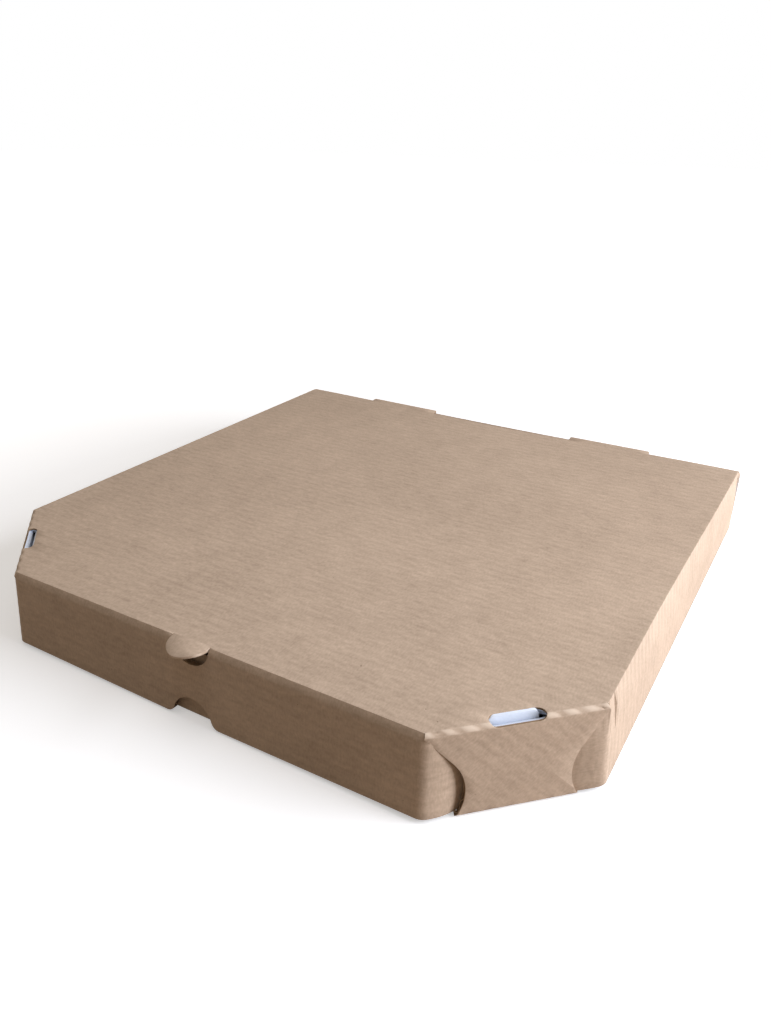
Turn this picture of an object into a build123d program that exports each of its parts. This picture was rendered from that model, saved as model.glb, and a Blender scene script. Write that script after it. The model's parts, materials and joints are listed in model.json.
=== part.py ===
from build123d import *

import os
from math import asin, atan, atan2, cos, hypot, pi, radians, sin, sqrt, tan

os.makedirs("parts", exist_ok=True)

# Closed box: square top panel with two cut front corners, measured from fold to fold
width = 360.0
depth = 360.0
height = 44.0
board = 3.0
corner_leg = 57.5

# Walls hang from the top panel and spring outwards towards their free edges
spread = 3.2
wall_lift = 1.2
fold_radius = 1.6
wall_corner_radius = 4.0

# Half-moon cut across the front fold, which leaves a tongue and a hole
tongue_radius = 11.0
tongue_kerf = 0.4

# Thumb notch in the free edge of the front wall
notch_radius = 12.2
notch_mouth_radius = 4.5

# Lips that the slits across the rear fold leave on the top panel
lip_reach = 3.4
lip_length = 60.0
lip_centre = 87.0
lip_corner_radius = 1.2

# Flap on each cut corner, narrowed by a round bite on both sides
flap_waist = 24.4
flap_waist_height = 13.0
flap_bite_radius = 22.0

# Hollow corner: ledge under it, inner panel that climbs back to the slot
ledge_reach = 13.0
ledge_inner_half = 24.0
tab_half = 11.5
tab_shoulder_low = 8.0
tab_shoulder_high = 16.0
tab_sink = 0.5
tab_seat = 6.0

# Slot in the top panel along each cut corner's fold
slot_half_length = 12.6
slot_width = 6.5
slot_drop = 2.0

# Ears of the front wall and side walls, tucked behind the corner flap
ear_reach = 24.0
front_ear_tuck_angle = 17.0
side_ear_tuck_angle = 10.0
ear_tip_share = 0.4
ear_clearance = 0.5

# Ears of the side walls that lie along the rear wall
rear_ear_reach = 128.0
rear_ear_gap = 0.3
rear_ear_tip_share = 0.42
rear_ear_lift = 1.8

# Lower half: flat panel with three flaps that tuck inside the walls
tuck_headroom = 5.0
tuck_lean_angle = 5.0
front_gap = 1.5
side_gap = 0.7
tuck_corner_radius = 14.0
corner_gap = 1.5
tuck_end_gap = 3.0

# Least distance between neighbours that are cut from the one flat blank
blank_gap = 4.0

# Fold that both halves turn on, at the foot of the rear wall
hinge_gap = 0.3

# Overrun of cuts
overrun = 5.0

# Places worked out from the sizes
front_y = (tongue_radius - lip_reach - depth) / 2
rear_y = front_y + depth
half_width = width / 2
wall_lean = atan(spread / height)
cut_half = corner_leg / sqrt(2)
diagonal = cos(pi / 4)
mitre_gap = hinge_gap * sqrt(2)


def slant(level):
    """Place along a leaning board, from the top fold, of a height above the table."""
    return (level - height) / cos(wall_lean)


def spread_at(level):
    """How far a leaning wall stands out past the top fold at a height."""
    return spread * (1 - level / height)


def board_plane(top, bottom, direction):
    """Plane of a board's outer face: X along the fold, Y up the board."""
    rise = Vector(top) - Vector(bottom)
    along = Vector(direction)
    return Plane(origin=top, x_dir=along, z_dir=along.cross(rise))


def fold_sketch(place, outward, outside, lean):
    """Sliver between a sharp fold and its round back, in the fold's section."""
    tangent = fold_radius * tan((pi / 2 - lean) / 2)
    middle = (pi / 2 - lean) / 2
    foot = (tangent * sin(lean), -tangent * cos(lean))
    crown = (-tangent + fold_radius * sin(middle), fold_radius * cos(middle) - fold_radius)
    with BuildSketch(Plane(origin=place, x_dir=outward, z_dir=outward.cross(outside))) as section:
        with BuildLine():
            ThreePointArc((-tangent, 0), crown, foot)
            Polyline(foot, (overrun, foot[1]), (overrun, overrun), (-tangent, overrun), (-tangent, 0))
        make_face()
    return section.sketch


panel_outline = [
    (-half_width, rear_y),
    (half_width, rear_y),
    (half_width, front_y + corner_leg),
    (half_width - corner_leg, front_y),
    (corner_leg - half_width, front_y),
    (-half_width, front_y + corner_leg),
]

# Round bite of the corner flap: tangent from the fold's end to the bite's circle
bite_x = flap_waist + flap_bite_radius - cut_half
bite_y = flap_waist_height - height
bite_distance = hypot(bite_x, bite_y)
bite_angle = atan2(bite_y, bite_x) - asin(flap_bite_radius / bite_distance)
bite_run = sqrt(bite_distance**2 - flap_bite_radius**2)
bite_start = (cut_half + bite_run * cos(bite_angle), slant(height + bite_run * sin(bite_angle)))
flap_foot = flap_waist + flap_bite_radius - sqrt(flap_bite_radius**2 - flap_waist_height**2)

# Upper half: top panel, four walls, ears and hollow corners, folded from one blank
with BuildPart() as lid:
    with BuildSketch(Plane.XY.offset(height - board)):
        with BuildLine():
            Polyline(*panel_outline, close=True)
        make_face()
        with Locations((0, front_y)):
            Circle(tongue_radius)
    extrude(amount=board)

    # Lips on the rear edge
    with BuildSketch(Plane.XY.offset(height - board)) as lips:
        with Locations((-lip_centre, rear_y), (lip_centre, rear_y)):
            Rectangle(lip_length, 2 * lip_reach)
        fillet(lips.vertices(), lip_corner_radius)
    extrude(amount=board)

    # Front wall with the half-moon hole and the thumb notch
    front_plane = board_plane((0, front_y, height), (0, front_y - spread, 0), (1, 0, 0))
    front_end = half_width - corner_leg
    with BuildSketch(front_plane) as front_wall:
        with BuildLine():
            Polyline(
                (-front_end, 0),
                (front_end, 0),
                (front_end, slant(wall_lift)),
                (-front_end, slant(wall_lift)),
                close=True,
            )
        make_face()
        fillet(front_wall.vertices().group_by(Axis.Y)[0], wall_corner_radius)
        with Locations((0, slant(wall_lift))):
            Circle(notch_radius, mode=Mode.SUBTRACT)
        fillet(
            front_wall.vertices().group_by(Axis.Y)[0].sort_by(lambda v: abs(v.X))[:2],
            notch_mouth_radius,
        )
    extrude(amount=-board)

    # Rear wall, cut away under the lips and mitred at its foot
    with BuildSketch(Plane(origin=(0, rear_y, 0), x_dir=(1, 0, 0), z_dir=(0, -1, 0))) as rear_wall:
        with BuildLine():
            Polyline(
                (-half_width, height),
                (half_width, height),
                (half_width + spread, 0),
                (-half_width - spread, 0),
                close=True,
            )
        make_face()
        fillet(rear_wall.vertices().group_by(Axis.Y)[0], wall_corner_radius)
    extrude(amount=board)
    with BuildSketch(Plane(origin=(0, rear_y, 0), x_dir=(1, 0, 0), z_dir=(0, -1, 0))):
        with Locations((-lip_centre, height - board), (lip_centre, height - board)):
            Rectangle(lip_length, lip_reach - board, align=(Align.CENTER, Align.MAX))
    extrude(amount=board, mode=Mode.SUBTRACT)
    with BuildSketch(Plane.YZ):
        with BuildLine():
            Polyline(
                (rear_y + overrun, mitre_gap - overrun),
                (rear_y - board, board + mitre_gap),
                (rear_y - board, -overrun),
                (rear_y + overrun, -overrun),
                close=True,
            )
        make_face()
    extrude(amount=width, both=True, mode=Mode.SUBTRACT)

    for side in (1, -1):
        # Side wall
        side_plane = board_plane(
            (side * half_width, front_y + corner_leg, height),
            (side * (half_width + spread), front_y + corner_leg, 0),
            (0, side, 0),
        )
        side_length = depth - corner_leg - board - rear_ear_gap
        with BuildSketch(side_plane) as side_wall:
            with BuildLine():
                Polyline(
                    (0, 0),
                    (side * side_length, 0),
                    (side * side_length, slant(wall_lift)),
                    (0, slant(wall_lift)),
                    close=True,
                )
            make_face()
            fillet(side_wall.vertices().group_by(Axis.Y)[0], wall_corner_radius)
        extrude(amount=-board)

        # Ear along the rear wall
        ear_top = height - board - rear_ear_gap
        ear_low = board + rear_ear_lift
        rear_ear_end = half_width - rear_ear_reach
        ear_face = Plane(
            origin=(0, rear_y - board - rear_ear_gap, 0), x_dir=(1, 0, 0), z_dir=(0, -1, 0)
        )
        with BuildSketch(ear_face) as rear_ear:
            with BuildLine():
                Polyline(
                    (side * (half_width + spread_at(ear_top)), ear_top),
                    (side * (half_width + spread_at(ear_low)), ear_low),
                    (side * rear_ear_end, ear_low),
                    (side * rear_ear_end, ear_top),
                    close=True,
                )
            make_face()
            fillet(
                rear_ear.vertices().sort_by(lambda v: abs(v.X))[:2],
                rear_ear_tip_share * (ear_top - ear_low),
            )
        extrude(amount=board)

        # Corner frame: middle of the fold, along it and out of the box
        fold_middle = Vector(
            side * (half_width - corner_leg / 2), front_y + corner_leg / 2, height
        )
        along = Vector(diagonal, side * diagonal, 0)
        outward = Vector(side * diagonal, -diagonal, 0)
        foot_middle = fold_middle - Vector(0, 0, height)

        # Corner flap
        flap_plane = board_plane(
            fold_middle, (foot_middle + outward * spread), along
        )
        with BuildSketch(flap_plane):
            with BuildLine():
                Line((0, 0), (cut_half, 0))
                Line((cut_half, 0), bite_start)
                ThreePointArc(
                    bite_start,
                    (flap_waist, slant(flap_waist_height)),
                    (flap_foot, slant(0)),
                )
                Line((flap_foot, slant(0)), (0, slant(0)))
                mirror(about=Plane.YZ)
            make_face()
        extrude(amount=-board)

        # Ledge under the hollow corner
        ledge_plane = Plane(origin=foot_middle, x_dir=along, z_dir=(0, 0, 1))
        with BuildSketch(ledge_plane):
            with BuildLine():
                Polyline(
                    (-flap_foot, -spread),
                    (flap_foot, -spread),
                    (ledge_inner_half, ledge_reach),
                    (-ledge_inner_half, ledge_reach),
                    close=True,
                )
            make_face()
        extrude(amount=board)

        # Inner panel with the tab that stands in the slot
        inner_plane = board_plane(
            (fold_middle - outward * tab_seat),
            (foot_middle - outward * ledge_reach),
            along,
        )
        with BuildSketch(inner_plane):
            with BuildLine():
                Polyline(
                    (-tab_half, -tab_sink),
                    (tab_half, -tab_sink),
                    (tab_half, slant(tab_shoulder_high)),
                    (ledge_inner_half, slant(tab_shoulder_low)),
                    (ledge_inner_half, slant(0)),
                    (-ledge_inner_half, slant(0)),
                    (-ledge_inner_half, slant(tab_shoulder_low)),
                    (-tab_half, slant(tab_shoulder_high)),
                    close=True,
                )
            make_face()
        inner_panel = extrude(amount=board, mode=Mode.PRIVATE)

        # Slot across the corner's fold, then the inner panel through it
        slot_plane = Plane(origin=fold_middle, x_dir=along, z_dir=(0, 0, 1))
        with BuildSketch(slot_plane):
            with Locations((0, (slot_width - slot_drop) / 2)):
                SlotOverall(2 * slot_half_length, slot_width + slot_drop)
        extrude(amount=-slot_drop, mode=Mode.SUBTRACT)
        with BuildSketch(slot_plane):
            with Locations((0, slot_width)):
                Rectangle(
                    2 * slot_half_length - slot_width,
                    slot_width - board,
                    align=(Align.CENTER, Align.MAX),
                )
        extrude(amount=-board, mode=Mode.SUBTRACT)
        add(inner_panel)

        # Ears behind the corner flap: one from the front wall, one from the side wall
        front_corner = Vector(side * front_end, front_y, height)
        side_corner = Vector(side * half_width, front_y + corner_leg, height)
        flare = tan(pi / 8)
        ears = [
            (front_corner, Vector(side * flare, -1, 0), pi / 4 + radians(front_ear_tuck_angle), 1),
            (side_corner, Vector(side, -flare, 0), 5 * pi / 4 - radians(side_ear_tuck_angle), -1),
        ]
        for corner, lean_out, angle, way in ears:
            reach_way = Vector(side * cos(angle), sin(angle), 0)
            foot = corner - Vector(0, 0, height) + lean_out * spread
            ear_plane = board_plane(
                corner, foot, (reach_way * side * way)
            )
            tip = side * way * ear_reach
            ear_crest = slant(height - board - ear_clearance)
            with BuildSketch(ear_plane) as ear:
                with BuildLine():
                    Polyline(
                        (0, ear_crest),
                        (tip, ear_crest),
                        (tip, slant(wall_lift)),
                        (0, slant(wall_lift)),
                        close=True,
                    )
                make_face()
                fillet(
                    ear.vertices().sort_by(lambda v: abs(v.X))[2:],
                    ear_tip_share * (ear_crest - slant(wall_lift)),
                )
                fillet(
                    ear.vertices().sort_by(lambda v: abs(v.X))[:2].sort_by(Axis.Y)[0],
                    wall_corner_radius,
                )
            extrude(amount=-board)

    # Half-moon hole in the front wall, under the tongue
    with BuildSketch(front_plane):
        with BuildLine():
            CenterArc((0, 0), tongue_radius + tongue_kerf, 180, 180)
            Line((-tongue_radius - tongue_kerf, 0), (tongue_radius + tongue_kerf, 0))
        make_face()
        with Locations((0, 0)):
            Rectangle(
                2 * (tongue_radius + tongue_kerf),
                board / cos(wall_lean),
                align=(Align.CENTER, Align.MAX),
                mode=Mode.SUBTRACT,
            )
    extrude(amount=-board - tongue_kerf, mode=Mode.SUBTRACT)

    # Trim what the leaning boards leave under the table's level
    split(bisect_by=Plane.XY, keep=Keep.TOP)

    # Round backs of the outer folds: middle, way out of the box, lean and half length
    up = Vector(0, 0, 1)
    corner_length = cut_half + overrun
    front_half = (front_end - tongue_radius + overrun) / 2
    front_middle = tongue_radius + front_half
    rear_inner_half = lip_centre - lip_length / 2
    rear_outer_half = (half_width - lip_centre - lip_length / 2 + overrun) / 2
    rear_outer_middle = lip_centre + lip_length / 2 + rear_outer_half
    side_fold_half = (depth - corner_leg) / 2 + overrun
    side_fold_middle = front_y + (depth + corner_leg) / 2
    folds = [(Vector(0, rear_y, height), Vector(0, 1, 0), 0, rear_inner_half)]
    for side in (1, -1):
        folds += [
            (Vector(side * front_middle, front_y, height), Vector(0, -1, 0), wall_lean, front_half),
            (Vector(side * rear_outer_middle, rear_y, height), Vector(0, 1, 0), 0, rear_outer_half),
            (
                Vector(side * half_width, side_fold_middle, height),
                Vector(side, 0, 0),
                wall_lean,
                side_fold_half,
            ),
            (
                Vector(side * (half_width - corner_leg / 2), front_y + corner_leg / 2, height),
                Vector(side * diagonal, -diagonal, 0),
                wall_lean,
                corner_length,
            ),
        ]
    for middle, outward, lean, half_length in folds:
        sliver = fold_sketch(middle, outward, up, lean)
        extrude(sliver, amount=half_length, both=True, mode=Mode.SUBTRACT)

    # Round backs of the folds between the corner flaps and their ledges
    for side in (1, -1):
        outward = Vector(side * diagonal, -diagonal, 0)
        ledge_edge = Vector(side * (half_width - corner_leg / 2), front_y + corner_leg / 2, 0)
        sliver = fold_sketch(ledge_edge + outward * spread, outward, -up, -wall_lean)
        extrude(sliver, amount=flap_foot, both=True, mode=Mode.SUBTRACT)

lid.part.label = "lid"
export_step(lid.part, "parts/lid.step")

# Lower half: panel under the walls with its front flap and two side flaps
tuck_lean = radians(tuck_lean_angle)
tuck_height = height - board - tuck_headroom
tuck_inset = tuck_height * tan(tuck_lean)
base_front = front_y - spread + board + front_gap
base_half = half_width + spread - board - side_gap
cut_shift = (ledge_reach + corner_gap) * sqrt(2)
base_front_end = front_end + (base_front - front_y) - cut_shift
base_side_start = front_y + (base_half - front_end) + cut_shift
base_outline = [
    (-base_half, rear_y),
    (base_half, rear_y),
    (base_half, base_side_start),
    (base_front_end, base_front),
    (-base_front_end, base_front),
    (-base_half, base_side_start),
]

with BuildPart() as base:
    with BuildSketch():
        with BuildLine():
            Polyline(*base_outline, close=True)
        make_face()
    extrude(amount=board)

    # The side flaps start where the long rear ears end in the flat blank
    side_low = base_side_start + tuck_end_gap
    side_high = rear_y - (rear_ear_reach - board - height) - blank_gap
    side_middle = (side_low + side_high) / 2
    side_half = (side_high - side_low) / 2

    # Each flap: foot of its outer face, direction of its fold, way inwards, half its length
    flaps = [
        ((0, base_front, 0), (1, 0, 0), (0, 1, 0), base_front_end - tuck_end_gap),
        ((base_half, side_middle, 0), (0, 1, 0), (-1, 0, 0), side_half),
        ((-base_half, side_middle, 0), (0, -1, 0), (1, 0, 0), side_half),
    ]
    for foot, along, inward, half_length in flaps:
        crest = Vector(foot) + Vector(inward) * tuck_inset + Vector(0, 0, tuck_height)
        with BuildSketch(board_plane(crest, foot, along)) as tuck:
            with Locations((0, 0)):
                Rectangle(
                    2 * half_length, tuck_height / cos(tuck_lean), align=(Align.CENTER, Align.MAX)
                )
            fillet(tuck.vertices().group_by(Axis.Y)[-1], tuck_corner_radius)
        extrude(amount=-board)

    # Mitre along the fold at the foot of the rear wall
    with BuildSketch(Plane.YZ):
        with BuildLine():
            Polyline(
                (rear_y, 0),
                (rear_y + overrun, -overrun),
                (rear_y + overrun, board + overrun),
                (rear_y - board - overrun, board + overrun),
                close=True,
            )
        make_face()
    extrude(amount=width, both=True, mode=Mode.SUBTRACT)

    split(bisect_by=Plane.XY, keep=Keep.TOP)

    # Round backs of the folds under the flaps
    for foot, along, inward, half_length in flaps:
        sliver = fold_sketch(Vector(foot), -Vector(inward), Vector(0, 0, -1), -tuck_lean)
        extrude(sliver, amount=depth, both=True, mode=Mode.SUBTRACT)

base.part.label = "base"
export_step(base.part, "parts/base.step")
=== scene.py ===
# %% [markdown]
# # A pizza box, die-cut, folded and photographed
# The box is made of fluted board, kraft brown outside and white inside. One flat blank makes
# all of it: its upper half is folded down into walls, and its lower half is folded up into
# three flaps that stand inside those walls. Both halves turn on the crease at the foot of the
# rear wall. This lesson makes the box as a maker does: draw the blank, give it its thickness,
# punch it, crease it, and then fold it up, one crease after the other.
#
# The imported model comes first. It says where everything is, and nothing in it moves.

# %% Load the frame
import json
from math import acos, asin, atan, atan2, cos, pi, radians, sin, sqrt, tan

import bmesh
import bpy
import numpy as np
from mathutils import Matrix, Vector


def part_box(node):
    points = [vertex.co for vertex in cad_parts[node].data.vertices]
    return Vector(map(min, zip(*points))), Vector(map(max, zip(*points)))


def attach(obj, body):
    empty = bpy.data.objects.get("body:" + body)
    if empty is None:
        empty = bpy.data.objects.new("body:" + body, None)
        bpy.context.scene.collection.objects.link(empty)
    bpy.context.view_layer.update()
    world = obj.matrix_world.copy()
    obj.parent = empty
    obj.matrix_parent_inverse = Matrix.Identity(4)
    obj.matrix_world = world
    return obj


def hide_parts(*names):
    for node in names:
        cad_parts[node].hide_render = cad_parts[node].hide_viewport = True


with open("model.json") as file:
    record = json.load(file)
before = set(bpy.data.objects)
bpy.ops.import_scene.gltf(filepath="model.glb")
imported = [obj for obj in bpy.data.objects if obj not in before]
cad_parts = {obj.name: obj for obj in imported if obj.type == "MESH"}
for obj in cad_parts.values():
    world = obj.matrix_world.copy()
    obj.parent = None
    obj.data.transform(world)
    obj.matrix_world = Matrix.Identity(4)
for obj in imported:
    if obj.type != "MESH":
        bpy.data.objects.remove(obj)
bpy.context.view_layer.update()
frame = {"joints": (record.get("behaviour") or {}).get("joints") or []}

lid_low, lid_high = (Vector(corner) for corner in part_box("lid"))
print("upper half from", tuple(lid_low), "to", tuple(lid_high))

# %% [markdown]
# The camera stands in front of the right front corner and looks down a little, as in the
# photograph. Its place is given by two angles, a small tilt of the frame, a distance and the
# point that it looks at. The lens follows from the picture's long side.

# %% Camera
camera_turn = radians(30.04)
camera_height = radians(25.37)
camera_tilt = radians(0.912)
camera_distance = 0.6118
camera_target = Vector((-0.0409, 0.0731, 0))
picture_long_side = 1024
focal_pixels = 824.5
sensor_long_side = 36

back = Vector((
    sin(camera_turn) * cos(camera_height),
    -cos(camera_turn) * cos(camera_height),
    sin(camera_height),
))
level_right = Vector((cos(camera_turn), sin(camera_turn), 0))
level_up = back.cross(level_right)
right = level_right * cos(camera_tilt) + level_up * sin(camera_tilt)
up = level_up * cos(camera_tilt) - level_right * sin(camera_tilt)

camera_data = bpy.data.cameras.new("camera")
camera_data.sensor_fit = "AUTO"
camera_data.sensor_width = sensor_long_side
camera_data.lens = focal_pixels * sensor_long_side / picture_long_side
camera = bpy.data.objects.new("camera", camera_data)
bpy.context.collection.objects.link(camera)
turned = Matrix((right, up, back)).transposed().to_4x4()
camera.matrix_world = Matrix.Translation(camera_target + back * camera_distance) @ turned
bpy.context.scene.camera = camera
print("lens", round(camera_data.lens, 2), "mm at", tuple(round(c, 3) for c in camera.location))

# %% [markdown]
# ## Sizes of the box
# The frame gives the height and the line of the hinge. The other sizes are the box's own, in
# metres, and are the same on the flat blank.

# %% Sizes
hinge_y = frame["joints"][0]["pos_m"][1]
height = lid_high.z
width = 0.360
depth = 0.360
board = 0.003
corner_leg = 0.0575
spread = 0.0031
wall_lift = 0.0012
fold_radius = 0.0021

front_y = hinge_y - depth
half_width = width / 2
front_end = half_width - corner_leg
wall_lean = atan(spread / height)
wall_turn = pi / 2 - wall_lean
wall_slant = height / cos(wall_lean)
print("hinge at", round(hinge_y, 4), "and front fold at", round(front_y, 4))

# %% [markdown]
# ## Fold arithmetic
# A crease isn't a sharp line: the outside of the board bends round a small radius. So a fold
# takes up a little board. The outer faces of two panels would meet in a sharp corner; the bend
# starts one `tangent` before it and its length is a row of short chords. What the corner would
# need, less what the bend uses, is the `take_up`, and the blank is shorter by that much.

# %% Fold arithmetic
bend_rows = 6


def tangent(turn):
    """Distance from the sharp corner to where the bend starts."""
    return fold_radius * tan(turn / 2)


def chord(turn):
    """Length of one facet of the bend."""
    return 2 * fold_radius * sin(turn / (2 * bend_rows))


def take_up(turn):
    """How much shorter the blank is than the sharp corner."""
    return 2 * tangent(turn) - bend_rows * chord(turn)


print("a wall's fold takes up", round(take_up(wall_turn) * 1000, 2), "mm")

# %% [markdown]
# ## Drawing the cut line
# A die-maker draws the blank with straight lines and round corners. The pen below does the
# same with operators: a plane is merged to one point, each straight line extrudes that point,
# and each round corner spins it about the corner's centre. A corner is given as a place and
# a radius, so the drawing stays a short list.

# %% The pen
arc_step = 0.0011


def deselect():
    bpy.ops.object.select_all(action="DESELECT")


def work_on(sheet):
    """Make one object the active one, and the only one that is selected."""
    deselect()
    bpy.context.view_layer.objects.active = sheet
    sheet.select_set(True)


def pen_down(name, place):
    """Start a drawing: one point, from a plane that is merged to its centre."""
    deselect()
    bpy.ops.mesh.primitive_plane_add(size=board, location=(place.x, place.y, 0))
    drawing = bpy.context.object
    drawing.name = name
    bpy.ops.object.transform_apply(location=True, rotation=True, scale=True)
    bpy.ops.object.mode_set(mode="EDIT")
    bpy.ops.mesh.merge(type="CENTER")
    return drawing


def pen_line(start, end):
    if (end - start).length > arc_step / 100:
        move = (end.x - start.x, end.y - start.y, 0)
        bpy.ops.mesh.extrude_region_move(TRANSFORM_OT_translate={"value": move})


def pen_draw(name, corners):
    """Draw a chain through corners of (place, radius), the first and last without radius."""
    here = corners[0][0]
    drawing = pen_down(name, here)
    for number in range(1, len(corners)):
        place, radius = corners[number]
        if radius == 0:
            pen_line(here, place)
            here = place
            continue
        way_in = (place - corners[number - 1][0]).normalized()
        way_out = (corners[number + 1][0] - place).normalized()
        turn = way_in.angle_signed(way_out)
        reach = radius * tan(abs(turn) / 2)
        arc_start = place - way_in * reach
        arc_end = place + way_out * reach
        sideways = Vector((-way_in.y, way_in.x)) * (-radius if turn > 0 else radius)
        centre = arc_start + sideways
        pen_line(here, arc_start)
        steps = max(3, round(radius * abs(turn) / arc_step))
        bpy.ops.mesh.spin(
            steps=steps, angle=turn, center=(centre.x, centre.y, 0), axis=(0, 0, 1)
        )
        here = arc_end
    return drawing


# %% [markdown]
# ## The upper half's outline
# Only the right half is drawn, from the middle of the front edge round to the middle of the
# rear edge, and a mirror makes the other. A wall and its ear are drawn in the wall's own
# directions: along the wall towards the ear, and out of the box. The strip at the corner is
# drawn across its fold: it is the corner flap, then the ledge, then the inner panel with the
# tab that stands in the slot.

# %% Places on the corner strip and on the ears
diagonal = sqrt(0.5)
eighth = tan(pi / 8)
strip_along = Vector((diagonal, diagonal))
strip_out = Vector((diagonal, -diagonal))
strip_middle = Vector((half_width - corner_leg / 2, front_y + corner_leg / 2))
strip_half = corner_leg * diagonal

ledge_reach = 0.013
ledge_inner_half = 0.024
ledge_step = 0.0026
ledge_lift = 0.0002
tab_seat = 0.006
front_tab_half = 0.0121
side_tab_half = 0.0106
tab_sink = 0.0002
tab_shoulder_low = 0.008
tab_shoulder_high = 0.016
tab_round = 0.0025
ledge_turn = pi / 2 + wall_lean
inner_lean = atan((ledge_reach - tab_seat) / height)
inner_turn = pi / 2 + inner_lean
ledge_fold = wall_slant - take_up(wall_turn) - ledge_lift
inner_fold = ledge_fold + spread + ledge_reach - take_up(ledge_turn)
tab_end = inner_fold + height / cos(inner_lean) - tab_sink - take_up(inner_turn)

front_waist = 0.0225
side_waist = 0.0255
flap_waist_height = 0.013
flap_bite_radius = 0.022

mitre = fold_radius * sin(wall_turn) * eighth
bend_start = -tangent(wall_turn)
bend_end = bend_start + bend_rows * chord(wall_turn)
corner_inset = strip_half + bend_start * eighth

wall_length = (height - wall_lift) / cos(wall_lean) - take_up(wall_turn)
wall_round = 0.004
ear_reach = 0.024
ear_low_reach = 0.026
ear_crest = (board + 0.0005) / cos(wall_lean) - take_up(wall_turn)
side_ear_crest = ear_crest + 0.0012
ear_tip_round = 0.0157
ear_low_round = 0.004
ear_low_rise = 0.0015
ear_wedge = 0.003
ear_root = spread * eighth
kerf = 0.00015
hair = 0.00005


def strip_place(across, out):
    return strip_middle + strip_along * across + strip_out * out


def flap_edge(waist):
    """The S-shaped edge: a straight run, then the round bite, down to the ledge's fold."""
    start = Vector((corner_inset + mitre, bend_end))
    centre = Vector((waist + flap_bite_radius, ledge_fold - flap_waist_height))
    rise = sqrt(flap_bite_radius**2 - flap_waist_height**2)
    foot = Vector((centre.x - rise, ledge_fold))
    away = start - centre
    first = atan2(away.y, away.x) - acos(flap_bite_radius / away.length)
    last = atan2(foot.y - centre.y, foot.x - centre.x)
    first += 2 * pi * (first < 0)
    last += 2 * pi * (last < 0)
    return start, centre, first, last, foot


def strip_side(waist, tab_half):
    """One side of the strip, from the fold at the top to the end of the tab."""
    start, centre, first, last, foot = flap_edge(waist)
    middle, half = (first + last) / 2, (last - first) / 2
    return [
        (Vector((corner_inset, bend_start)), 0),
        (start, 0),
        (centre + Vector((cos(middle), sin(middle))) * flap_bite_radius / cos(half),
         flap_bite_radius),
        (foot, 0),
        (Vector((ledge_inner_half, ledge_fold + ledge_step)), 0),
        (Vector((ledge_inner_half, inner_fold + tab_shoulder_low)), tab_round / 2),
        (Vector((tab_half, inner_fold + tab_shoulder_high)), tab_round / 2),
        (Vector((tab_half, tab_end)), tab_round),
    ]


front_half = strip_side(front_waist, front_tab_half)
side_half = strip_side(side_waist, side_tab_half)
strip = [(strip_place(-place.x, place.y), radius) for place, radius in front_half]
strip += [(strip_place(*place), radius) for place, radius in side_half[::-1]]


def ear(origin, along, out, crest):
    """A wall's ear: its lower and upper corner, the wedge beside the flap, and its root."""
    corners = [
        (ear_root + ear_low_reach, wall_length - ear_low_rise, ear_low_round),
        (ear_root + ear_reach, crest, ear_tip_round),
        (ear_wedge, crest, 0),
        (mitre + bend_start * eighth, bend_end, 0),
    ]
    return [(origin + along * a + out * b, radius) for a, b, radius in corners]


front_corner = Vector((front_end, front_y))
side_corner = Vector((half_width, front_y + corner_leg))
front_ear = ear(front_corner, Vector((1, 0)), Vector((0, -1)), ear_crest)
side_ear = ear(side_corner, Vector((0, -1)), Vector((1, 0)), side_ear_crest)
print("flap's fold to ledge", round(ledge_fold * 1000, 1), "mm, to tab's end",
      round(tab_end * 1000, 1), "mm")

# %% Places on the front edge and on the rear
notch_radius = 0.0122
notch_mouth_round = 0.0045
mouth_angle = asin(notch_mouth_round / (notch_radius + notch_mouth_round))
free_edge = front_y - wall_length
notch = [
    (Vector((0, free_edge + notch_radius)), 0),
    (Vector((notch_radius * (1 - sin(mouth_angle)) / cos(mouth_angle),
             free_edge + notch_radius)), notch_radius),
    (Vector((notch_radius / cos(mouth_angle), free_edge)), notch_mouth_round),
]

rear_ear_reach = 0.128
rear_ear_gap = 0.0003
rear_ear_lift = 0.0018
rear_ear_round = 0.012
rear_corner_round = 0.003
rear_ear_y = hinge_y - board - rear_ear_gap
side_free = half_width + wall_length
rear_ear_inner = half_width + board + rear_ear_gap - take_up(wall_turn)
rear_ear_outer = half_width + height - board - rear_ear_lift - take_up(wall_turn)
rear_ear_tip = rear_ear_y + rear_ear_reach - take_up(pi / 2)
rear_ear_rise = rear_ear_reach * tan(wall_lean)
rear_end = [
    (Vector((side_free, rear_ear_y)), rear_corner_round),
    (Vector((rear_ear_outer, rear_ear_y)), 0),
    (Vector((rear_ear_outer - rear_ear_rise, rear_ear_tip)), rear_ear_round),
    (Vector((rear_ear_inner, rear_ear_tip)), rear_ear_round),
    (Vector((rear_ear_inner, rear_ear_y)), 0),
    (Vector((half_width + bend_start, rear_ear_y)), 0),
]

mitre_gap = 0.0003 * sqrt(2)
rear_foot = hinge_y + height - mitre_gap - take_up(pi / 2)
rear_wall = [
    (Vector((half_width + bend_start, hinge_y - tangent(pi / 2))), 0),
    (Vector((half_width, hinge_y + tangent(pi / 2))), 0),
    (Vector((half_width, rear_foot)), wall_round),
    (Vector((0, rear_foot)), 0),
]
lid_outline = notch + front_ear + strip + list(reversed(side_ear)) + rear_end + rear_wall
print(len(lid_outline), "corners on the right half")

# %% [markdown]
# ## From a line to a board
# The half outline is mirrored and filled, and then extruded downwards by the thickness of the
# board, so its top is the outside of the box. Its normals are made to point outwards.

# %% Outline to board


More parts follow.
